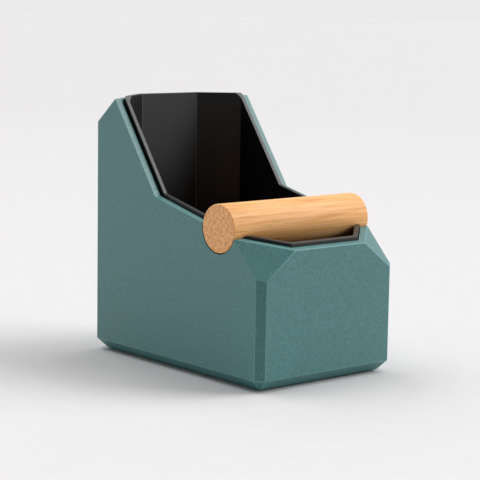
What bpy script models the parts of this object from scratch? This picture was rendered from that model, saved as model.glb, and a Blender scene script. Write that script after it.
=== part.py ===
"""Espresso knock box: a faceted outer body, a lift-out inner bin and a round wooden knock bar.

Metres, +Z up. The origin is the middle of the footprint, on the surface that the feet stand on.
+X is the box's right-hand side, -Y its low front and +Y its tall back.
"""

import math

import bmesh
import bpy
from mathutils import Matrix, Vector

# ---- Outer body -------------------------------------------------------------------------
BODY_WIDTH = 0.112
BODY_DEPTH = 0.170
BACK_HEIGHT = 0.1665        # underside of the body to its flat top at the back
LIP_HEIGHT = 0.0836         # underside of the body to its front lip
LIP_SLOPE = math.radians(13.0)
RAMP_SLOPE = math.radians(54.0)
BACK_TOP_DEPTH = 0.0238     # length of the flat top, front to back
SIDE_WALL = 0.0050
CORNER_WALL = 0.0042
FLOOR_COVER = 0.0018        # plastic left between an insert's bore and the cavity
BASE_CHAMFER = 0.0066
INNER_CHAMFER = 0.0050      # foot of the cavity, and of the bin that stands in it
POST_CHAMFER = 0.0048       # the narrow upright chamfer on each corner

# A corner facet is a plane: plan_ratio weighs depth against width, spread is how fast it opens.
FRONT_PLAN_RATIO = 1.36
FRONT_SPREAD = 1.33
FRONT_FACET_DROP = 0.0170   # from the lip down to where the facet leaves the upright chamfer
BACK_PLAN_RATIO = 1.30
BACK_FACET_DROP = 0.0157    # height of the back facet at the side face

# ---- Inner bin --------------------------------------------------------------------------
BIN_WALL = 0.0030
BIN_FLOOR = 0.0030
BIN_SIDE_GAP = 0.0009       # all round, when the bin is centred
BIN_FORWARD = 0.0006        # the bin stands this much forward of centre
BIN_PROUD = 0.0018          # its rim stands this far off the body's rim, square to it

# ---- Knock bar --------------------------------------------------------------------------
BAR_DIAMETER = 0.030
BAR_SETBACK = 0.0402        # front face to bar axis
BAR_ABOVE_LIP = 0.0012      # bar axis over the body's sloped lip
BAR_EDGE_ROUND = 0.0010
BODY_NOTCH_GAP = 0.0006
BODY_NOTCH_FORWARD = 0.0003 # the body's notch is this much forward of the bar
BIN_NOTCH_GAP = 0.0004

# ---- Rubber saddles that the bar lies on, hidden in a groove of each side wall -----------
SADDLE_THICKNESS = 0.0012
SADDLE_HALF_ANGLE = math.radians(58.0)
SADDLE_COLLAR = 0.0017      # wall left on the outside, which hides the saddle

# ---- Feet and bumpers -------------------------------------------------------------------
FOOT_DIAMETER = 0.0160
FOOT_PROUD = 0.0010         # how far the feet lift the body
FOOT_WEB = 0.0010           # rubber over the screw's head
FOOT_INSET_X = 0.0190       # body side to foot centre
FOOT_INSET_Y = 0.0190       # body front or back to foot centre
FOOT_ROUND = 0.0008
FOOT_SCREW_DIAMETER = 0.0028
FOOT_SCREW_HEAD = 0.0056
FOOT_SCREW_HEAD_HEIGHT = 0.0018
FOOT_SCREW_SOCKET = 0.0020  # across flats
FOOT_SCREW_SINK = 0.0002    # how far the screw's head stays off the ground
INSERT_DIAMETER = 0.0046
INSERT_LENGTH = 0.0030
BUMPER_DIAMETER = 0.0100
BUMPER_RECESS = 0.0008
BUMPER_PROUD = 0.0010
BUMPER_INSET_X = 0.0180     # cavity side to bumper centre
BUMPER_INSET_Y = 0.0340     # cavity front or back to bumper centre

# ---- Fits and mesh detail ---------------------------------------------------------------
TOUCH = 0.0003              # gap left between pieces that touch
BORE_FIT = 0.0003           # radial gap round a screw, an insert, a foot or a bumper
MARGIN = 0.0100             # how far a cutter runs past what it cuts
ROUND_STEPS = 32
NOTCH_STEPS = 32
BAR_STEPS = 64
MERGE = 0.00001

# ---- Worked out from the sizes above ----------------------------------------------------
HALF_WIDTH = BODY_WIDTH / 2
HALF_DEPTH = BODY_DEPTH / 2
BODY_BOTTOM = FOOT_PROUD
BACK_TOP = BODY_BOTTOM + BACK_HEIGHT
FOOT_SEAT = FOOT_SCREW_SINK + FOOT_SCREW_HEAD_HEIGHT
FOOT_TOP = FOOT_SEAT + TOUCH + FOOT_WEB
RECESS_TOP = FOOT_TOP + TOUCH
BORE_TOP = RECESS_TOP + INSERT_LENGTH + 2 * TOUCH
CAVITY_FLOOR = BORE_TOP + FLOOR_COVER
BIN_BOTTOM = CAVITY_FLOOR + BUMPER_PROUD + TOUCH
BAR_RADIUS = BAR_DIAMETER / 2
BAR_Y = -HALF_DEPTH + BAR_SETBACK
BAR_Z = BODY_BOTTOM + LIP_HEIGHT + math.tan(LIP_SLOPE) * BAR_SETBACK + BAR_ABOVE_LIP
CAVITY_HALF_WIDTH = HALF_WIDTH - SIDE_WALL
SADDLE_RADIUS = BAR_RADIUS + TOUCH      # its inner side
SADDLE_GROOVE_RADIUS = SADDLE_RADIUS + SADDLE_THICKNESS + TOUCH

# name of the corner: direction along X, direction along Y
CORNERS = {
    "front_left": (-1, -1),
    "front_right": (1, -1),
    "back_left": (-1, 1),
    "back_right": (1, 1),
}
SIDES = {"left": -1, "right": 1}


# ---- Scene and small helpers ------------------------------------------------------------
def clear_scene():
    for obj in list(bpy.data.objects):
        bpy.data.objects.remove(obj, do_unlink=True)


def new_collection(name):
    collection = bpy.data.collections.new(name)
    bpy.context.scene.collection.children.link(collection)
    return collection


def make_material(name, colour, roughness, metallic=0.0):
    material = bpy.data.materials.new(name)
    material.use_nodes = True
    shader = material.node_tree.nodes["Principled BSDF"]
    shader.inputs["Base Color"].default_value = (*colour, 1.0)
    shader.inputs["Roughness"].default_value = roughness
    shader.inputs["Metallic"].default_value = metallic
    material.diffuse_color = (*colour, 1.0)
    return material


def add_object(name, mesh, collection):
    obj = bpy.data.objects.new(name, mesh)
    collection.objects.link(obj)
    return obj


def add_bmesh(name, bm, collection):
    mesh = bpy.data.meshes.new(name)
    bm.to_mesh(mesh)
    bm.free()
    return add_object(name, mesh, collection)


def as_cutter(obj):
    obj.hide_render = True
    obj.display_type = "WIRE"
    return obj


def cut(target, cutter, name):
    modifier = target.modifiers.new(name, "BOOLEAN")
    modifier.operation = "DIFFERENCE"
    modifier.solver = "EXACT"
    modifier.object = cutter


def extruded_outline(name, points, thickness, collection):
    """A flat outline as a filled 2D curve, made a mesh: it spans z = 0 to z = thickness."""
    curve = bpy.data.curves.new(name, "CURVE")
    curve.dimensions = "2D"
    curve.fill_mode = "BOTH"
    curve.extrude = thickness / 2
    spline = curve.splines.new("POLY")
    spline.points.add(len(points) - 1)
    for point, (x, y) in zip(spline.points, points):
        point.co = (x, y, 0.0, 1.0)
    spline.use_cyclic_u = True
    source = add_object(name + "_curve", curve, collection)
    bpy.context.view_layer.update()
    graph = bpy.context.evaluated_depsgraph_get()
    mesh = bpy.data.meshes.new_from_object(source.evaluated_get(graph))
    bpy.data.objects.remove(source, do_unlink=True)
    bm = bmesh.new()
    bm.from_mesh(mesh)
    bpy.data.meshes.remove(mesh)
    bmesh.ops.remove_doubles(bm, verts=bm.verts, dist=MERGE)
    bmesh.ops.dissolve_limit(bm, angle_limit=math.radians(0.5), verts=bm.verts, edges=bm.edges)
    bmesh.ops.recalc_face_normals(bm, faces=bm.faces)
    bmesh.ops.translate(bm, verts=bm.verts, vec=(0.0, 0.0, thickness / 2))
    return add_bmesh(name, bm, collection)


def across_width(name, points, low_x, high_x, collection):
    """A side-view outline of (y, z) points, extruded along X from low_x to high_x."""
    obj = extruded_outline(name, points, high_x - low_x, collection)
    # Local x, y and z become world y, z and x.
    obj.matrix_world = Matrix(((0, 0, 1, low_x), (1, 0, 0, 0), (0, 1, 0, 0), (0, 0, 0, 1)))
    return obj


def turned(name, profile, collection, steps=ROUND_STEPS):
    """A profile of (radius, z) points, top to bottom down its outer side, turned about Z."""
    closed = min(radius for radius, _ in profile) > 0
    count = len(profile)
    edges = [(i, i + 1) for i in range(count - 1)]
    if closed:
        edges.append((count - 1, 0))
    mesh = bpy.data.meshes.new(name)
    mesh.from_pydata([(radius, 0.0, z) for radius, z in profile], edges, [])
    obj = add_object(name, mesh, collection)
    screw = obj.modifiers.new("turn", "SCREW")
    screw.axis = "Z"
    screw.steps = steps
    screw.render_steps = steps
    screw.use_merge_vertices = True
    screw.merge_threshold = MERGE
    return obj


def rod_cutter(name, radius, low, high, x, y, collection, steps=ROUND_STEPS):
    """An upright cylinder between two heights, for drilling."""
    bm = bmesh.new()
    bmesh.ops.create_cone(
        bm,
        cap_ends=True,
        segments=steps,
        radius1=radius,
        radius2=radius,
        depth=high - low,
        matrix=Matrix.Translation((x, y, (low + high) / 2)),
    )
    return as_cutter(add_bmesh(name, bm, collection))


def hex_cutter(name, across_flats, low, high, x, y, collection):
    return rod_cutter(name, across_flats / math.sqrt(3), low, high, x, y, collection, steps=6)


def finish(obj, material, parent=None):
    obj.data.materials.append(material)
    if parent is not None:
        obj.parent = parent
    obj.data.shade_smooth()
    obj.data.set_sharp_from_angle(angle=math.radians(30))
    return obj


# ---- Rim: the side-view line shared by the body and the bin ------------------------------
def rim_points(offset, forward):
    """(y, z) of lip start, knee and peak for the rim moved square to itself by offset."""
    lip_run = math.tan(LIP_SLOPE)
    ramp_run = math.tan(RAMP_SLOPE)
    lip_rise = offset / math.cos(LIP_SLOPE)
    ramp_rise = offset / math.cos(RAMP_SLOPE)
    peak_y = HALF_DEPTH - BACK_TOP_DEPTH
    lip_at_front = BODY_BOTTOM + LIP_HEIGHT + lip_rise
    ramp_at_peak = BACK_TOP + ramp_rise
    knee_y = (ramp_at_peak - ramp_run * peak_y - lip_at_front - lip_run * HALF_DEPTH) / (lip_run - ramp_run)
    knee_z = lip_at_front + lip_run * (knee_y + HALF_DEPTH)
    top_y = peak_y + (offset - ramp_rise) / ramp_run
    start_y = -HALF_DEPTH - MARGIN
    start_z = lip_at_front - lip_run * MARGIN
    return [
        (start_y - forward, start_z),
        (knee_y - forward, knee_z),
        (top_y - forward, BACK_TOP + offset),
    ]


def mouth_cutter(name, offset, forward, collection):
    """Everything above the rim."""
    points = rim_points(offset, forward)
    end_y = HALF_DEPTH + MARGIN
    roof = BACK_TOP + offset + MARGIN
    outline = points + [(end_y, points[-1][1]), (end_y, roof), (points[0][0], roof)]
    reach = HALF_WIDTH + MARGIN
    return as_cutter(across_width(name, outline, -reach, reach, collection))


# ---- Corner facets ----------------------------------------------------------------------
# Seen from a corner, u runs inwards across the width and v inwards along the depth.
# The facet plane is u + plan_ratio * v = reach(z), with reach growing upwards.
FRONT_LEG_X = POST_CHAMFER + FRONT_SPREAD * FRONT_FACET_DROP
FRONT_LEG_Y = FRONT_LEG_X / (FRONT_PLAN_RATIO - FRONT_SPREAD * math.tan(LIP_SLOPE))
BACK_LEG_Y = BACK_TOP_DEPTH
BACK_LEG_X = BACK_PLAN_RATIO * BACK_LEG_Y
BACK_SPREAD = BACK_PLAN_RATIO * (BACK_LEG_Y - POST_CHAMFER) / BACK_FACET_DROP


def facet_cutter(name, side_x, side_y, collection):
    """A slab whose underside lies on one corner's facet plane."""
    front = side_y < 0
    ratio = FRONT_PLAN_RATIO if front else BACK_PLAN_RATIO
    spread = FRONT_SPREAD if front else BACK_SPREAD
    leg_x = FRONT_LEG_X if front else BACK_LEG_X
    height = BODY_BOTTOM + (LIP_HEIGHT if front else BACK_HEIGHT)
    point = Vector((side_x * (HALF_WIDTH - leg_x), side_y * HALF_DEPTH, height))
    normal = Vector((side_x, side_y * ratio, spread)).normalized()
    size = 3 * max(BODY_WIDTH, BODY_DEPTH)
    bm = bmesh.new()
    bmesh.ops.create_cube(bm, size=size, matrix=Matrix.Translation((0.0, 0.0, size / 2)))
    obj = add_bmesh(name, bm, collection)
    obj.matrix_world = Matrix.Translation(point) @ normal.to_track_quat("Z", "Y").to_matrix().to_4x4()
    return as_cutter(obj)


# ---- Plan outline of the cavity and the bin ----------------------------------------------
def meet(first, second):
    """Where two plan lines cross. A line is (nx, ny, d), with nx * x + ny * y = d."""
    a, b, c = first
    d, e, f = second
    span = a * e - b * d
    return ((c * e - b * f) / span, (a * f - c * d) / span)


def corner_line(side_x, side_y, inset):
    """The plan line of one corner facet's top edge, moved inwards by inset."""
    leg_x = FRONT_LEG_X if side_y < 0 else BACK_LEG_X
    leg_y = FRONT_LEG_Y if side_y < 0 else BACK_LEG_Y
    length = math.hypot(leg_x, leg_y)
    nx = side_x * leg_y / length
    ny = side_y * leg_x / length
    reach = nx * side_x * (HALF_WIDTH - leg_x) + ny * side_y * HALF_DEPTH
    return (nx, ny, reach - inset)


def octagon(inset, forward=0.0):
    """The cavity's plan outline moved inwards by inset, and towards the front by forward."""
    side = HALF_WIDTH - SIDE_WALL - inset
    end = HALF_DEPTH - SIDE_WALL - inset
    corner = CORNER_WALL + inset
    lines = [
        (0, -1, end),
        corner_line(1, -1, corner),
        (1, 0, side),
        corner_line(1, 1, corner),
        (0, 1, end),
        corner_line(-1, 1, corner),
        (-1, 0, side),
        corner_line(-1, -1, corner),
    ]
    points = [meet(lines[i], lines[(i + 1) % len(lines)]) for i in range(len(lines))]
    return [(x, y - forward) for x, y in points]


def octagon_prism(name, inset, forward, low, high, chamfer, collection):
    """An upright octagonal block with its bottom edge chamfered."""
    obj = extruded_outline(name, octagon(inset, forward), high - low, collection)
    bm = bmesh.new()
    bm.from_mesh(obj.data)
    bottom = [edge for edge in bm.edges if all(vert.co.z < MERGE for vert in edge.verts)]
    bmesh.ops.bevel(bm, geom=bottom, offset=chamfer, segments=1, profile=0.5, affect="EDGES", material=-1)
    bm.to_mesh(obj.data)
    bm.free()
    obj.location.z = low
    return obj


# ---- Knock bar notch ---------------------------------------------------------------------
def bar_arc(radius, start, end, forward=0.0):
    """Points on a circle about the bar's axis, seen from the side. Angle 0 is straight down."""
    angles = [start + (end - start) * i / NOTCH_STEPS for i in range(NOTCH_STEPS + 1)]
    return [(BAR_Y - forward + radius * math.sin(a), BAR_Z - radius * math.cos(a)) for a in angles]


def notch_cutter(name, gap, forward, collection):
    """A U that is open upwards: the bar drops in from above and lifts straight out."""
    outline = bar_arc(BAR_RADIUS + gap, -math.pi / 2, math.pi / 2, forward)
    roof = BACK_TOP + MARGIN
    outline += [(outline[-1][0], roof), (outline[0][0], roof)]
    reach = HALF_WIDTH + MARGIN
    return as_cutter(across_width(name, outline, -reach, reach, collection))


def saddle_outline(inner_radius, outer_radius, half_angle):
    """A bent strip under the bar, seen from the side."""
    inner = bar_arc(inner_radius, -half_angle, half_angle)
    outer = bar_arc(outer_radius, half_angle, -half_angle)
    return inner + outer


def saddle_span(sign, clearance):
    """Where a saddle lies along X: behind the collar, and up to the cavity."""
    outer = sign * (HALF_WIDTH - SADDLE_COLLAR - clearance)
    inner = sign * (CAVITY_HALF_WIDTH + clearance)
    return (min(outer, inner), max(outer, inner))


def foot_place(side_x, side_y):
    return (side_x * (HALF_WIDTH - FOOT_INSET_X), side_y * (HALF_DEPTH - FOOT_INSET_Y))


def bumper_place(side_x, side_y):
    x = side_x * (CAVITY_HALF_WIDTH - BUMPER_INSET_X)
    y = side_y * (HALF_DEPTH - SIDE_WALL - BUMPER_INSET_Y)
    return (x, y)


# ---- Pieces -----------------------------------------------------------------------------
def make_outer_body(parts, cutters, material):
    bm = bmesh.new()
    size = (BODY_WIDTH, BODY_DEPTH, BACK_HEIGHT, 1.0)
    middle = Matrix.Translation((0.0, 0.0, BODY_BOTTOM + BACK_HEIGHT / 2))
    bmesh.ops.create_cube(bm, size=1.0, matrix=middle @ Matrix.Diagonal(size))
    upright = [edge for edge in bm.edges if abs(edge.verts[0].co.z - edge.verts[1].co.z) > MERGE]
    bmesh.ops.bevel(bm, geom=upright, offset=POST_CHAMFER, segments=1, profile=0.5, affect="EDGES", material=-1)
    base = [edge for edge in bm.edges if all(vert.co.z < BODY_BOTTOM + MERGE for vert in edge.verts)]
    bmesh.ops.bevel(bm, geom=base, offset=BASE_CHAMFER, segments=1, profile=0.5, affect="EDGES", material=-1)
    body = add_bmesh("outer_body", bm, parts)

    for corner, (side_x, side_y) in CORNERS.items():
        cut(body, facet_cutter(f"facet_{corner}", side_x, side_y, cutters), f"facet {corner}")
    cut(body, mouth_cutter("body_mouth", 0.0, 0.0, cutters), "mouth")
    cavity = octagon_prism("cavity", 0.0, 0.0, CAVITY_FLOOR, BACK_TOP + MARGIN, INNER_CHAMFER, cutters)
    cut(body, as_cutter(cavity), "cavity")
    cut(body, notch_cutter("body_notch", BODY_NOTCH_GAP, BODY_NOTCH_FORWARD, cutters), "bar notch")
    groove_angle = SADDLE_HALF_ANGLE + TOUCH / BAR_RADIUS
    groove = saddle_outline(BAR_RADIUS - TOUCH, SADDLE_GROOVE_RADIUS, groove_angle)
    for side, sign in SIDES.items():
        # It starts inside the cavity, so that the groove is open to it.
        low_x, high_x = saddle_span(sign, 0.0)
        low_x, high_x = (low_x, high_x + MARGIN) if sign < 0 else (low_x - MARGIN, high_x)
        cutter = as_cutter(across_width(f"groove_{side}", groove, low_x, high_x, cutters))
        cut(body, cutter, f"saddle groove {side}")

    for corner, (side_x, side_y) in CORNERS.items():
        x, y = foot_place(side_x, side_y)
        foot_radius = FOOT_DIAMETER / 2 + BORE_FIT
        recess = rod_cutter(f"recess_{corner}", foot_radius, -MARGIN, RECESS_TOP, x, y, cutters)
        cut(body, recess, f"foot recess {corner}")
        insert_radius = INSERT_DIAMETER / 2 + BORE_FIT
        bore = rod_cutter(f"bore_{corner}", insert_radius, -MARGIN, BORE_TOP, x, y, cutters)
        cut(body, bore, f"insert bore {corner}")
        x, y = bumper_place(side_x, side_y)
        seat = rod_cutter(
            f"seat_{corner}",
            BUMPER_DIAMETER / 2 + BORE_FIT,
            CAVITY_FLOOR - BUMPER_RECESS,
            CAVITY_FLOOR + MARGIN,
            x,
            y,
            cutters,
        )
        cut(body, seat, f"bumper seat {corner}")
    return finish(body, material)


def make_inner_bin(parts, cutters, material, slide):
    top = BACK_TOP + BIN_PROUD + MARGIN
    bin_ = octagon_prism("inner_bin", BIN_SIDE_GAP, BIN_FORWARD, BIN_BOTTOM, top, INNER_CHAMFER, parts)
    hollow = octagon_prism(
        "bin_hollow",
        BIN_SIDE_GAP + BIN_WALL,
        BIN_FORWARD,
        BIN_BOTTOM + BIN_FLOOR,
        top + MARGIN,
        INNER_CHAMFER,
        cutters,
    )
    cut(bin_, as_cutter(hollow), "hollow")
    cut(bin_, mouth_cutter("bin_mouth", BIN_PROUD, BIN_FORWARD, cutters), "mouth")
    cut(bin_, notch_cutter("bin_notch", BIN_NOTCH_GAP, 0.0, cutters), "bar notch")
    return finish(bin_, material, slide)


def make_knock_bar(parts, material, slide):
    bm = bmesh.new()
    lie_down = Matrix.Rotation(math.pi / 2, 4, "Y")
    bmesh.ops.create_cone(
        bm,
        cap_ends=True,
        segments=BAR_STEPS,
        radius1=BAR_RADIUS,
        radius2=BAR_RADIUS,
        depth=BODY_WIDTH,
        matrix=Matrix.Translation((0.0, BAR_Y, BAR_Z)) @ lie_down,
    )
    ends = [edge for edge in bm.edges if abs(edge.verts[0].co.x - edge.verts[1].co.x) < MERGE]
    bmesh.ops.bevel(bm, geom=ends, offset=BAR_EDGE_ROUND, segments=3, profile=0.5, affect="EDGES", material=-1)
    bar = add_bmesh("knock_bar", bm, parts)
    return finish(bar, material, slide)


def screw_profile(head_radius, head_height, shank_radius, length):
    """A pan-head screw standing head down: its head is under z = 0 and its shank above."""
    crown = 0.25 * head_height
    return [
        (0.0, length),
        (shank_radius * 0.5, length),
        (shank_radius, length - shank_radius * 0.5),
        (shank_radius, 0.0),
        (head_radius, 0.0),
        (head_radius, -head_height + crown),
        (head_radius - crown, -head_height),
        (0.0, -head_height),
    ]


def make_saddles(parts, rubber):
    outline = saddle_outline(SADDLE_RADIUS, SADDLE_RADIUS + SADDLE_THICKNESS, SADDLE_HALF_ANGLE)
    for side, sign in SIDES.items():
        low_x, high_x = saddle_span(sign, TOUCH)
        finish(across_width(f"bar_saddle_{side}", outline, low_x, high_x, parts), rubber)


def make_feet(parts, cutters, rubber, steel, brass):
    head_room = FOOT_SCREW_HEAD / 2 + BORE_FIT
    shank_room = FOOT_SCREW_DIAMETER / 2 + BORE_FIT
    insert_bottom = RECESS_TOP + TOUCH
    for corner, (side_x, side_y) in CORNERS.items():
        x, y = foot_place(side_x, side_y)
        rim = FOOT_DIAMETER / 2
        profile = [
            (rim, FOOT_TOP),
            (rim, FOOT_ROUND),
            (rim - FOOT_ROUND * (1 - math.sqrt(0.5)), FOOT_ROUND * (1 - math.sqrt(0.5))),
            (rim - FOOT_ROUND, 0.0),
            (head_room, 0.0),
            (head_room, FOOT_SEAT + TOUCH),
            (shank_room, FOOT_SEAT + TOUCH),
            (shank_room, FOOT_TOP),
        ]
        foot = turned(f"foot_{corner}", profile, parts)
        foot.location = (x, y, 0.0)
        finish(foot, rubber)

        length = insert_bottom + INSERT_LENGTH - FOOT_SEAT
        profile = screw_profile(FOOT_SCREW_HEAD / 2, FOOT_SCREW_HEAD_HEIGHT, FOOT_SCREW_DIAMETER / 2, length)
        screw = turned(f"foot_screw_{corner}", profile, parts)
        screw.location = (x, y, FOOT_SEAT)
        socket_top = FOOT_SEAT - FOOT_SCREW_HEAD_HEIGHT / 2
        socket = hex_cutter(f"socket_{corner}", FOOT_SCREW_SOCKET, -MARGIN, socket_top, x, y, cutters)
        cut(screw, socket, "socket")
        finish(screw, steel)

        ring = INSERT_DIAMETER / 2
        profile = [(ring, INSERT_LENGTH), (ring, 0.0), (shank_room, 0.0), (shank_room, INSERT_LENGTH)]
        insert = turned(f"foot_insert_{corner}", profile, parts)
        insert.location = (x, y, insert_bottom)
        finish(insert, brass)


def make_bumpers(parts, rubber):
    low = CAVITY_FLOOR - BUMPER_RECESS + TOUCH
    height = CAVITY_FLOOR + BUMPER_PROUD - low
    radius = BUMPER_DIAMETER / 2
    dome = 0.3 * height
    for corner, (side_x, side_y) in CORNERS.items():
        x, y = bumper_place(side_x, side_y)
        profile = [(0.0, height), (radius - dome, height), (radius, height - dome), (radius, 0.0), (0.0, 0.0)]
        bumper = turned(f"bin_bumper_{corner}", profile, parts)
        bumper.location = (x, y, low)
        finish(bumper, rubber)


def main():
    clear_scene()
    parts = new_collection("knock_box")
    cutters = new_collection("knock_box_cutters")

    shell = make_material("green_speckled_plastic", (0.093, 0.170, 0.168), 0.55)
    liner = make_material("black_plastic", (0.012, 0.012, 0.012), 0.38)
    wood = make_material("oiled_hardwood", (0.640, 0.370, 0.180), 0.50)
    rubber = make_material("black_rubber", (0.020, 0.020, 0.020), 0.80)
    steel = make_material("bright_steel", (0.560, 0.560, 0.550), 0.30, 1.0)
    brass = make_material("brass", (0.720, 0.520, 0.230), 0.35, 1.0)

    # The bin lifts straight up out of the body, and the bar straight up off the bin.
    bin_slide = bpy.data.objects.new("bin_slide", None)
    parts.objects.link(bin_slide)
    bar_slide = bpy.data.objects.new("bar_slide", None)
    bar_slide.parent = bin_slide
    parts.objects.link(bar_slide)

    make_outer_body(parts, cutters, shell)
    make_inner_bin(parts, cutters, liner, bin_slide)
    make_knock_bar(parts, wood, bar_slide)
    make_saddles(parts, rubber)
    make_feet(parts, cutters, rubber, steel, brass)
    make_bumpers(parts, rubber)


main()
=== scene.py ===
# %% [markdown]
# # Espresso knock box
# A knock box takes the spent puck of coffee: the portafilter is struck on the wooden bar and the
# puck drops into the bin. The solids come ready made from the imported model, which fixes every
# size and place. This file gives them their looks: softened edges, fine surface texture, wood
# grain, a floor, light and a camera.

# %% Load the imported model
import math

import bmesh
import bpy
from mathutils import Matrix, Vector


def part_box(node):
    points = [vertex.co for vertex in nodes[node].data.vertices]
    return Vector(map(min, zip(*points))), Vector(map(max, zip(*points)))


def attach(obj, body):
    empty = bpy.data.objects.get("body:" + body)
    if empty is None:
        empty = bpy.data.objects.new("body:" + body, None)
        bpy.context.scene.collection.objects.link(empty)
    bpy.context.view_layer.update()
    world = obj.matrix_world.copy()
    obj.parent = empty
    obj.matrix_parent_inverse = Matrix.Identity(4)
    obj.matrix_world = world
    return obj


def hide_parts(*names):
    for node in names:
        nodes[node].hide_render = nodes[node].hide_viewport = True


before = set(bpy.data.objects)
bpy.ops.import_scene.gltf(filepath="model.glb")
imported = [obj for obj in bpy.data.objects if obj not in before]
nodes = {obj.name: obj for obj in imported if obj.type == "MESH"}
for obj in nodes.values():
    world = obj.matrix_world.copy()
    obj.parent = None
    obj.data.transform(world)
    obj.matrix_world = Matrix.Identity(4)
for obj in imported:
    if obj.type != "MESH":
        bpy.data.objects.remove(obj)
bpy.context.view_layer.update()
MM = 0.001
CORNERS = ("front_left", "front_right", "back_left", "back_right")
SIDES = ("left", "right")

# %% [markdown]
# ## Helpers for meshes
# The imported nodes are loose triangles. They could take a Bevel modifier as they are, but it would
# also see the edges between two triangles of one flat face. So a copy is welded, and its flat
# faces are dissolved back into single polygons, which leaves only the real edges to soften.
# Every finished piece keeps its place in its mesh and its object at the origin.

# %% Finish a mesh
SHARP_ANGLE = math.radians(32)
FLAT_AREA = 15 * MM**2
EDGE_MARK = "on_edge"


def sort_faces(bm):
    """A bevel may list its faces in another order each run. Their corners give a fixed one."""
    bm.verts.index_update()
    ordered = sorted(bm.faces, key=lambda face: sorted(corner.index for corner in face.verts))
    ranks = {face: rank for rank, face in enumerate(ordered)}
    bm.faces.sort(key=lambda face: ranks[face])


def new_piece(name, bm, material, body, replaced, flat_area=FLAT_AREA):
    """Large flat faces are shaded flat, and the narrow rounded ones between them smooth."""
    mesh = bpy.data.meshes.new(name)
    bmesh.ops.recalc_face_normals(bm, faces=bm.faces)
    sort_faces(bm)
    on_edge = bm.faces.layers.float.get(EDGE_MARK)
    smooth = [
        face.calc_area() < flat_area or (on_edge is not None and face[on_edge] > 0)
        for face in bm.faces
    ]
    bm.to_mesh(mesh)
    bm.free()
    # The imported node's own normals belong to its triangles, not to the faces made here.
    packed_normals = mesh.attributes.get("custom_normal")
    if packed_normals is not None:
        mesh.attributes.remove(packed_normals)
    piece = bpy.data.objects.new(name, mesh)
    bpy.context.scene.collection.objects.link(piece)
    piece.data.materials.append(material)
    # Marking the sharp edges makes every face smooth, so the flat ones are set after it.
    mesh.set_sharp_from_angle(angle=SHARP_ANGLE)
    mesh.polygons.foreach_set("use_smooth", smooth)
    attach(piece, body)
    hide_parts(replaced)
    print(f"{name}: {len(mesh.polygons)} faces")


# %% Copy a node and soften its edges
WELD = 0.02 * MM
FLAT_ANGLE = math.radians(1)
SOFTENED_ANGLE = math.radians(16)
SOFTENED_LENGTH = 2.2 * MM  # the facets of a round notch or bore are shorter
EDGE_STEPS = 2


def welded_copy(node, shortest):
    """The node's mesh as whole polygons, without edges shorter than the length given."""
    bm = bmesh.new()
    bm.from_mesh(nodes[node].data)
    bmesh.ops.remove_doubles(bm, verts=bm.verts, dist=WELD)
    bmesh.ops.dissolve_limit(bm, angle_limit=FLAT_ANGLE, verts=bm.verts, edges=bm.edges)
    bmesh.ops.remove_doubles(bm, verts=bm.verts, dist=shortest)
    bmesh.ops.recalc_face_normals(bm, faces=bm.faces)
    bm.faces.layers.float.new(EDGE_MARK)
    return bm


def is_long(edge):
    return edge.calc_length() > SOFTENED_LENGTH


def soften(bm, width, segments=EDGE_STEPS, chosen=is_long):
    """Rounds the sharp edges for which chosen(edge) is true, and marks the new narrow faces."""
    edges = [
        edge
        for edge in bm.edges
        if len(edge.link_faces) == 2
        and edge.calc_face_angle(0.0) > SOFTENED_ANGLE
        and chosen(edge)
    ]
    rounded = bmesh.ops.bevel(
        bm,
        geom=edges,
        offset=width,
        segments=segments,
        profile=0.5,
        affect="EDGES",
        material=-1,
        clamp_overlap=False,
    )
    on_edge = bm.faces.layers.float[EDGE_MARK]
    for face in rounded["faces"]:
        face[on_edge] = 1.0
    print(f"softened {len(edges)} edges by {width / MM:.2f} mm")


# %% [markdown]
# ## Helpers for materials
# A finish could be painted into an image, but an image has one fixed sharpness and seams. Each
# finish here is a small tree of procedural nodes on Object coordinates, which are the model's own
# metres, so it is as fine as needed on every side. The calls below keep each recipe short.

# %% Material helpers
NOISE_SPAN = (0.3, 0.7)  # nearly all of a noise's values lie in here


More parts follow.
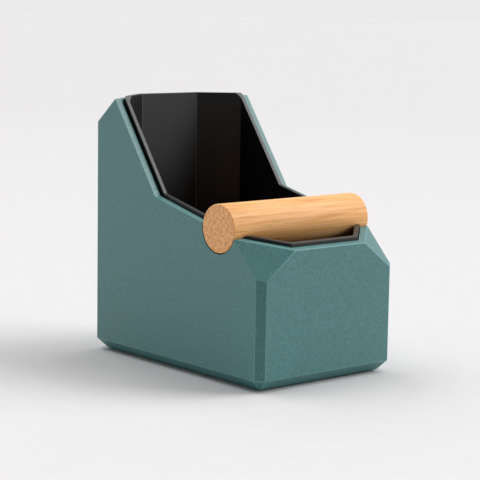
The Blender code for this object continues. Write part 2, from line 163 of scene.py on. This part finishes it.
class Finish:
    """A new Principled material and short calls to build its nodes."""

    def __init__(self, name, specular=0.5, metallic=0.0):
        self.material = bpy.data.materials.new(name)
        self.material.use_nodes = True
        self.tree = self.material.node_tree
        self.shader = self.tree.nodes["Principled BSDF"]
        self.set("Specular IOR Level", specular)
        self.set("Metallic", metallic)
        self.place = self.add("ShaderNodeTexCoord").outputs["Object"]

    def set(self, socket, value):
        """Gives the shader a constant, or links a node's output to it."""
        self.feed(self.shader.inputs[socket], value)

    def add(self, kind, settings=None, **sockets):
        node = self.tree.nodes.new(kind)
        for key, value in (settings or {}).items():
            setattr(node, key, value)
        for key, value in sockets.items():
            self.feed(node.inputs[key], value)
        return node

    def feed(self, socket, value):
        if isinstance(value, bpy.types.NodeSocket):
            self.tree.links.new(value, socket)
        else:
            socket.default_value = value

    def stretched(self, scale):
        """Object coordinates, scaled: below 1 on an axis draws a pattern out along it."""
        return self.add("ShaderNodeMapping", Vector=self.place, Scale=scale).outputs[0]

    def axis(self, vector, index):
        """One number of a vector: 0 is x, 1 is y and 2 is z."""
        return self.add("ShaderNodeSeparateXYZ", Vector=vector).outputs[index]

    def noise(self, scale, vector=None, detail=2.0, rough=0.5, distortion=0.0):
        """Soft random values. The scale is in waves per metre."""
        node = self.add(
            "ShaderNodeTexNoise",
            Vector=vector or self.place,
            Scale=scale,
            Detail=detail,
            Roughness=rough,
            Distortion=distortion,
        )
        return node.outputs["Fac"]

    def grains(self, scale):
        """A random value for each small cell."""
        cells = self.add("ShaderNodeTexVoronoi", Vector=self.place, Scale=scale)
        return self.add("ShaderNodeSeparateColor", Color=cells.outputs["Color"]).outputs[0]

    def math(self, operation, *values):
        node = self.add("ShaderNodeMath", {"operation": operation})
        for socket, value in zip(node.inputs, values):
            self.feed(socket, value)
        return node.outputs[0]

    def spread(self, value, span, new_span=(0.0, 1.0)):
        """The value's range span, stretched to the new one."""
        node = self.add("ShaderNodeMapRange")
        for socket, given in zip(node.inputs, (value, *span, *new_span)):
            self.feed(socket, given)
        return node.outputs[0]

    def ramp(self, value, *stops):
        """A colour for each value, from stops of (position, colour)."""
        node = self.add("ShaderNodeValToRGB", Fac=value)
        elements = node.color_ramp.elements
        while len(elements) < len(stops):
            elements.new(0.5)  # its true position is set below
        for element, (position, colour) in zip(elements, stops):
            element.position = position
            element.color = (*colour, 1.0)
        return node.outputs[0]

    def two_tone(self, value, low, high):
        """A ramp between two colours over a noise's own range."""
        return self.ramp(value, (NOISE_SPAN[0], low), (NOISE_SPAN[1], high))

    def mix(self, factor, first, second):
        node = self.add("ShaderNodeMix", {"data_type": "RGBA"})
        # This node has one set of sockets for each kind of data. 6 and 7 are its two colours.
        self.feed(node.inputs[0], factor)
        for index, value in ((6, first), (7, second)):
            self.feed(node.inputs[index], (*value, 1.0) if isinstance(value, tuple) else value)
        return node.outputs[2]

    def finish(self, colour, roughness, bumps=()):
        """Links what was made to the shader. Each bump is (height, depth in metres, strength)."""
        self.set("Base Color", colour)
        self.set("Roughness", roughness)
        normal = None
        for height, depth, strength in bumps:
            node = self.add("ShaderNodeBump", Height=height, Distance=depth, Strength=strength)
            if normal is not None:
                self.feed(node.inputs["Normal"], normal)
            normal = node.outputs[0]
        if normal is not None:
            self.set("Normal", normal)
        print(f"{self.material.name}: {len(self.tree.nodes)} nodes")
        return self.material


# %% [markdown]
# ## Camera
# The box is seen from the front left and a little above, through a long lens, so that its upright
# edges stay nearly parallel. The camera could be aimed with a Track To constraint. Here its three
# axes are worked out from its angles instead, so that its small roll is under control as well.

# %% Camera
CAMERA_PLACE = Vector((-0.6834, -0.8036, 0.2293))
CAMERA_YAW = math.radians(40.36)
CAMERA_PITCH = math.radians(8.14)
CAMERA_ROLL = math.radians(0.94)
CAMERA_LENS = 123.72
CAMERA_SENSOR = 36.0


def make_camera():
    flat = math.cos(CAMERA_PITCH)
    level = Vector((math.cos(CAMERA_YAW), -math.sin(CAMERA_YAW), 0.0))
    ahead = Vector(
        (math.sin(CAMERA_YAW) * flat, math.cos(CAMERA_YAW) * flat, -math.sin(CAMERA_PITCH))
    )
    upright = level.cross(ahead)
    right = math.cos(CAMERA_ROLL) * level + math.sin(CAMERA_ROLL) * upright
    up = math.cos(CAMERA_ROLL) * upright - math.sin(CAMERA_ROLL) * level
    turn = Matrix((right, up, -ahead)).transposed().to_4x4()
    data = bpy.data.cameras.new("camera")
    data.lens = CAMERA_LENS
    data.sensor_width = CAMERA_SENSOR
    camera = bpy.data.objects.new("camera", data)
    camera.matrix_world = Matrix.Translation(CAMERA_PLACE) @ turn
    bpy.context.scene.collection.objects.link(camera)
    bpy.context.scene.camera = camera
    print(f"camera: {CAMERA_LENS} mm lens, {CAMERA_PLACE.length:.2f} m from the origin")


make_camera()

# %% [markdown]
# ## Light
# The object stands in a bright room of soft light. Area lamps would do for the object alone, but
# they would leave bright patches on the floor. Sun lamps with a wide angle give soft shadows and
# light the whole floor evenly. The main one is high at the right, and weaker ones all round fill
# the faces that turn away from it. The sky adds a weak even fill.

# %% Lamps
# name: (azimuth in degrees, 0 from the front and 90 from the right; elevation; strength)
LAMPS = {
    "main_light": (60, 35, 0.66),
    "high_right_light": (90, 62, 0.33),
    "front_right_low_light": (30, 10, 0.12),
    "back_right_low_light": (120, 10, 0.08),
    "back_right_light": (150, 35, 0.10),
    "back_light": (180, 35, 0.14),
    "high_left_back_light": (-150, 62, 0.34),
    "left_low_light": (-130, 6, 0.21),
}
LAMP_SPREAD = math.radians(40)


def make_lamp(name, azimuth, elevation, strength):
    data = bpy.data.lights.new(name, "SUN")
    data.energy = strength * math.pi
    data.angle = LAMP_SPREAD
    lamp = bpy.data.objects.new(name, data)
    around, above = math.radians(azimuth), math.radians(elevation)
    flat = math.cos(above)
    direction = Vector((math.sin(around) * flat, -math.cos(around) * flat, math.sin(above)))
    lamp.rotation_mode = "QUATERNION"
    lamp.rotation_quaternion = direction.to_track_quat("Z", "Y")
    bpy.context.scene.collection.objects.link(lamp)


for name, (azimuth, elevation, strength) in LAMPS.items():
    make_lamp(name, azimuth, elevation, strength)
print(f"{len(LAMPS)} lamps, {sum(strength for _, _, strength in LAMPS.values()):.2f} in all")

# %% Sky
SKY_FILL = 0.12
SKY_COLOUR = (1.0, 1.0, 1.0)
SKY_SEEN = (0.84, 0.825, 0.83)


def make_sky():
    """A weak even fill, which the camera sees as the far end of the pale backdrop."""
    world = bpy.data.worlds.new("sky")
    bpy.context.scene.world = world
    world.use_nodes = True
    tree = world.node_tree
    fill = tree.nodes["Background"]
    fill.inputs["Color"].default_value = (*SKY_COLOUR, 1.0)
    fill.inputs["Strength"].default_value = SKY_FILL
    seen = tree.nodes.new("ShaderNodeBackground")
    seen.inputs["Color"].default_value = (*SKY_SEEN, 1.0)
    rays = tree.nodes.new("ShaderNodeLightPath")
    choose = tree.nodes.new("ShaderNodeMixShader")
    tree.links.new(rays.outputs["Is Camera Ray"], choose.inputs[0])
    tree.links.new(fill.outputs[0], choose.inputs[1])
    tree.links.new(seen.outputs[0], choose.inputs[2])
    tree.links.new(choose.outputs[0], tree.nodes["World Output"].inputs["Surface"])
    print(f"sky: fill {SKY_FILL}")


make_sky()
bpy.context.scene.view_settings.view_transform = "Standard"

# %% [markdown]
# ## Floor
# The box stands on plain pale paper that runs back to the horizon. One plane would do, but the
# room is dark behind the camera, so the floor is cut in two: the strip near the camera is seen,
# yet sheds no light on the object. Away from the object the paper is painted a little darker:
# painted shade for the light that falls off there.

# %% Floor
FLOOR_REACH = 30.0
FLOOR_NEAR_REACH = 0.6
# painted shade: the span of distance over which the floor is painted darker
FLOOR_SHADE_SPAN = (0.4, 2.5)
FLOOR_TONE = ((0.690, 0.677, 0.684), (0.705, 0.692, 0.699))
# painted shade: the darker colour painted on the far floor
FLOOR_FAR_SHADE = (0.655, 0.642, 0.649)
FLOOR_ROUGHNESS = 0.9
FLOOR_FLECK = 60.0


def make_paper():
    paper = Finish("pale_floor", specular=0.1)
    near = paper.two_tone(paper.noise(FLOOR_FLECK, detail=3.0), *FLOOR_TONE)
    away = paper.add("ShaderNodeVectorMath", {"operation": "LENGTH"})
    paper.feed(away.inputs[0], paper.place)
    # Painted shade: the floor's colour darkens with distance from the object.
    far_shade = paper.spread(away.outputs["Value"], FLOOR_SHADE_SPAN)
    return paper.finish(paper.mix(far_shade, near, FLOOR_FAR_SHADE), FLOOR_ROUGHNESS)


def make_floor(name, material, front, back):
    """A strip of floor between two distances from the object, away from the camera."""
    size = Matrix.Diagonal((FLOOR_REACH, (back - front) / 2, 1.0, 1.0))
    place = Matrix.Translation((0.0, (back + front) / 2, 0.0))
    turn = Matrix.Rotation(-CAMERA_YAW, 4, "Z")
    bm = bmesh.new()
    bmesh.ops.create_grid(
        bm, x_segments=1, y_segments=1, size=1.0, matrix=turn @ place @ size
    )
    mesh = bpy.data.meshes.new(name)
    bm.to_mesh(mesh)
    bm.free()
    floor = bpy.data.objects.new(name, mesh)
    floor.data.materials.append(material)
    bpy.context.scene.collection.objects.link(floor)
    print(f"{name}: from {front} to {back} m")
    return floor


paper = make_paper()
make_floor("floor", paper, -FLOOR_NEAR_REACH, FLOOR_REACH)
front_floor = make_floor("front_floor", paper, -FLOOR_REACH, -FLOOR_NEAR_REACH)
front_floor.visible_diffuse = False
front_floor.visible_glossy = False

# %% [markdown]
# ## The speckled plastic of the outer body
# The body is printed in thin layers from a blue-green plastic with a fine glitter in it. Up close
# it is a matte skin of flecks, lighter and darker than the ground, with hair-fine layer lines. On
# an upright wall the lines are too fine to see, and on a gentle slope they spread out into steps.
# Real steps would take millions of faces. Taking a bump's height from z alone gives the same
# look. The softened edges are painted a little lighter: a painted highlight for the thin line of
# light that a rounded edge catches.

# %% Speckled plastic
LAYER = 0.2 * MM
SHELL_DARK = (0.012, 0.112, 0.113)
SHELL_BASE = (0.028, 0.166, 0.166)
SHELL_LIGHT = (0.060, 0.245, 0.240)
SHELL_CLOUDED = (0.034, 0.182, 0.181)
# painted highlight: the lighter colour painted on the softened edges
SHELL_EDGE_HIGHLIGHT = (0.085, 0.290, 0.282)
SHELL_GLITTER = (0.12, 0.28, 0.275)
SHELL_FLECK_SHARE = 0.75
SHELL_CLOUD_SCALE = 90.0
SHELL_FLECK_SCALE = 820.0
SHELL_GLITTER_SCALE = 2600.0
SHELL_GLITTER_SPAN = (0.95, 1.0)  # one grain in twenty glitters
SHELL_GLITTER_SHARE = (0.0, 0.5)
SHELL_ROUGHNESS = (0.56, 0.44)
SHELL_COAT = 0.3
SHELL_COAT_ROUGHNESS = 0.5


def layer_lines(finish):
    """A soft ridge for each printed layer, from height alone."""
    height = finish.axis(finish.place, 2)
    return finish.math("SINE", finish.math("MULTIPLY", height, 2 * math.pi / LAYER))


def make_shell_plastic():
    shell = Finish("speckled_green_plastic", specular=0.8)
    cloud = shell.noise(SHELL_CLOUD_SCALE, detail=4.0, rough=0.6)
    fleck = shell.noise(SHELL_FLECK_SCALE, detail=4.0, rough=0.8)
    ground = shell.two_tone(cloud, SHELL_BASE, SHELL_CLOUDED)
    tone = shell.ramp(fleck, (0.36, SHELL_DARK), (0.5, SHELL_BASE), (0.64, SHELL_LIGHT))
    colour = shell.mix(SHELL_FLECK_SHARE, ground, tone)
    grains = shell.grains(SHELL_GLITTER_SCALE)
    glitter = shell.spread(grains, SHELL_GLITTER_SPAN, SHELL_GLITTER_SHARE)
    colour = shell.mix(glitter, colour, SHELL_GLITTER)
    # Painted highlight: the narrow edge faces are painted lighter, for the line of light they
    # catch.
    on_edge = shell.add("ShaderNodeAttribute", {"attribute_name": EDGE_MARK})
    colour = shell.mix(on_edge.outputs["Fac"], colour, SHELL_EDGE_HIGHLIGHT)
    shell.set("Coat Weight", SHELL_COAT)
    shell.set("Coat Roughness", SHELL_COAT_ROUGHNESS)
    roughness = shell.spread(fleck, NOISE_SPAN, SHELL_ROUGHNESS)
    bumps = [(layer_lines(shell), 0.02 * MM, 0.35), (fleck, 0.05 * MM, 0.5)]
    return shell.finish(colour, roughness, bumps)


shell_plastic = make_shell_plastic()

# %% [markdown]
# ## Outer body
# The body's edges are crisp but not knife sharp: a printed edge is rounded by about a third of a
# millimetre and catches a thin line of light. A Bevel node could fake that in the material, but
# the outline would stay sharp. The welded copy has true polygons, so one bevel on its real edges
# gives the rounding and its line everywhere, and the plastic paints the rounded faces lighter as a
# painted highlight.

# %% Make the outer body
BODY_EDGE = 0.35 * MM
BODY_SHORTEST = 0.2 * MM


def make_body():
    bm = welded_copy("outer_body", BODY_SHORTEST)
    soften(bm, BODY_EDGE)
    new_piece("body_shell", bm, shell_plastic, "outer_body", "outer_body")


make_body()

# %% [markdown]
# ## The black plastic of the bin
# The bin is the same kind of print as the body, in a satin black. A black this deep shows its
# shape by what it reflects, so the colour hardly varies and the gloss does. It takes the same
# layer lines, but shallower.

# %% Black plastic
BIN_DARK = (0.002, 0.002, 0.002)
BIN_LIGHT = (0.004, 0.004, 0.004)
BIN_CLOUD_SCALE = 70.0
BIN_FLECK_SCALE = 1800.0
BIN_ROUGHNESS = (0.34, 0.48)


def make_bin_plastic():
    black = Finish("satin_black_plastic")
    colour = black.two_tone(black.noise(BIN_CLOUD_SCALE, detail=3.0), BIN_DARK, BIN_LIGHT)
    fleck = black.noise(BIN_FLECK_SCALE)
    roughness = black.spread(fleck, NOISE_SPAN, BIN_ROUGHNESS)
    bumps = [(layer_lines(black), 0.004 * MM, 0.4), (fleck, 0.01 * MM, 0.4)]
    return black.finish(colour, roughness, bumps)


bin_plastic = make_bin_plastic()

# %% [markdown]
# ## Inner bin
# The bin is a separate tub that stands in the body, with its rim just proud of the body's. It
# could be lofted anew, but the copy of the solid has the right walls already. The tips that its
# wall ends in beside the bar are rounded most, and they go first, while their edges are still
# whole.

# %% Make the bin
BIN_EDGE = 0.3 * MM
BIN_SHORTEST = 0.6 * MM
TIP_ROUND = 1.2 * MM
TIP_STEPS = 3
TIP_REACH = 2.0 * MM
TIP_WIDEST = 5.0 * MM  # more than the bin's wall, and less than any other level edge


def make_bin():
    bm = welded_copy("inner_bin", BIN_SHORTEST)
    bar_low, bar_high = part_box("knock_bar")
    bar_y = (bar_low.y + bar_high.y) / 2
    reach = (bar_high.y - bar_low.y) / 2 + TIP_REACH

    def across_a_tip(edge):
        span = edge.verts[1].co - edge.verts[0].co
        middle = (edge.verts[0].co + edge.verts[1].co) / 2
        level = max(abs(span.y), abs(span.z)) < WELD and span.length < TIP_WIDEST
        return level and abs(middle.y - bar_y) < reach and middle.z > bar_low.z + TIP_REACH

    soften(bm, TIP_ROUND, TIP_STEPS, across_a_tip)
    soften(bm, BIN_EDGE)
    new_piece("bin_tub", bm, bin_plastic, "bin", "inner_bin")


make_bin()

# %% [markdown]
# ## The wood of the bar
# The bar is pale hardwood, lightly oiled. Its grain runs along it, in long soft streaks of cream
# and orange with short dark dashes. The sawn ends show end grain, which is browner and mottled
# with pores. A true solid grain would need growth rings round a centre that isn't seen. So the
# sides take noise drawn out along the bar, and the faces that point along it take even noise.

# %% Wood
SIDE_TONES = (
    (0.36, (0.70, 0.290, 0.070)),
    (0.46, (0.88, 0.420, 0.130)),
    (0.54, (0.95, 0.500, 0.190)),
    (0.64, (0.98, 0.600, 0.290)),
)
END_TONES = (
    (0.34, (0.64, 0.270, 0.090)),
    (0.50, (0.90, 0.430, 0.165)),
    (0.66, (1.00, 0.600, 0.280)),
)
DASH_TONE = (0.50, 0.19, 0.05)
DASH_SPAN = (0.58, 0.72)
DASH_SHARE = (0.0, 0.5)
END_SPAN = (0.75, 0.97)  # how far a face points along the bar
WOOD_ROUGHNESS = (0.58, 0.44)


def drawn_out(wood, share):
    """Object coordinates in which a pattern is drawn out along the bar."""
    return wood.stretched((share, 1.0, 1.0))


def make_side(wood, streak):
    bands = wood.noise(170.0, drawn_out(wood, 0.06), detail=4.0, rough=0.55, distortion=0.6)
    halves = [wood.math("MULTIPLY", noise, 0.5) for noise in (streak, bands)]
    side = wood.ramp(wood.math("ADD", *halves), *SIDE_TONES)
    dashes = wood.noise(1300.0, drawn_out(wood, 0.04), detail=3.0, rough=0.6)
    return wood.mix(wood.spread(dashes, DASH_SPAN, DASH_SHARE), side, DASH_TONE)


def make_wood():
    wood = Finish("oiled_hardwood", specular=0.45)
    streak = wood.noise(900.0, drawn_out(wood, 0.028), detail=4.0, rough=0.65, distortion=0.15)
    pores = wood.noise(430.0, detail=5.0, rough=0.7)
    normal = wood.add("ShaderNodeNewGeometry").outputs["Normal"]
    is_end = wood.spread(wood.math("ABSOLUTE", wood.axis(normal, 0)), END_SPAN)
    colour = wood.mix(is_end, make_side(wood, streak), wood.ramp(pores, *END_TONES))
    roughness = wood.spread(streak, NOISE_SPAN, WOOD_ROUGHNESS)
    return wood.finish(colour, roughness, [(streak, 0.05 * MM, 0.3), (pores, 0.04 * MM, 0.3)])


wood = make_wood()

# %% [markdown]
# ## Knock bar
# The bar is a length of round dowel, sawn off square, with the rims of its ends just broken. The
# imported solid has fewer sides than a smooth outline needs, so a finer cylinder of the same size
# takes its place.

# %% Make the bar
BAR_SIDES = 160
BAR_ROUND = 0.8 * MM
BAR_ROUND_STEPS = 4
BAR_END_AREA = 300 * MM**2  # only the two ends are larger


def make_bar():
    low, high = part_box("knock_bar")
    middle = (low + high) / 2
    radius = (high.z - low.z) / 2
    lie_down = Matrix.Rotation(math.pi / 2, 4, "Y")
    bm = bmesh.new()
    bmesh.ops.create_cone(
        bm,
        cap_ends=True,
        segments=BAR_SIDES,
        radius1=radius,
        radius2=radius,
        depth=high.x - low.x,
        matrix=Matrix.Translation(middle) @ lie_down,
    )
    rims = [
        edge for edge in bm.edges if abs(edge.verts[0].co.x - edge.verts[1].co.x) < WELD
    ]
    bmesh.ops.bevel(
        bm,
        geom=rims,
        offset=BAR_ROUND,
        segments=BAR_ROUND_STEPS,
        profile=0.5,
        affect="EDGES",
        material=-1,
    )
    new_piece("dowel_bar", bm, wood, "bar", "knock_bar", flat_area=BAR_END_AREA)


make_bar()

# %% [markdown]
# ## Rubber, steel and brass
# The feet, bumpers and saddles are soft black rubber. The screws and the threaded inserts are
# plain hardware. They are small or hidden, and their shape is already right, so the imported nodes
# stay and take a finish of their own.

# %% Small parts
RUBBER_DARK = (0.012, 0.012, 0.012)
RUBBER_LIGHT = (0.026, 0.026, 0.026)
RUBBER_GRAIN_SCALE = 1500.0
RUBBER_ROUGHNESS = (0.7, 0.9)
LATHE_SCALE = 3000.0
LATHE_STRETCH = (0.15, 0.15, 1.0)


def make_rubber():
    rubber = Finish("black_rubber", specular=0.3)
    grain = rubber.noise(RUBBER_GRAIN_SCALE, detail=3.0)
    colour = rubber.two_tone(grain, RUBBER_DARK, RUBBER_LIGHT)
    roughness = rubber.spread(grain, NOISE_SPAN, RUBBER_ROUGHNESS)
    return rubber.finish(colour, roughness, [(grain, 0.03 * MM, 0.5)])


def make_metal(name, low, high, roughness):
    metal = Finish(name, metallic=1.0)
    lathe = metal.noise(LATHE_SCALE, metal.stretched(LATHE_STRETCH))
    colour = metal.two_tone(lathe, low, high)
    return metal.finish(colour, metal.spread(lathe, NOISE_SPAN, roughness))


rubber = make_rubber()
steel = make_metal("bright_steel", (0.50, 0.50, 0.49), (0.62, 0.62, 0.61), (0.26, 0.40))
brass = make_metal("plain_brass", (0.66, 0.46, 0.20), (0.78, 0.58, 0.28), (0.28, 0.42))

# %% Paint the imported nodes
PAINTED = {
    **{f"bar_saddle_{side}": rubber for side in SIDES},
    **{f"bin_bumper_{corner}": rubber for corner in CORNERS},
    **{f"foot_{corner}": rubber for corner in CORNERS},
    **{f"foot_screw_{corner}": steel for corner in CORNERS},
    **{f"foot_insert_{corner}": brass for corner in CORNERS},
}
for node, material in PAINTED.items():
    nodes[node].data.materials.clear()
    nodes[node].data.materials.append(material)
print(f"painted {len(PAINTED)} packed nodes")
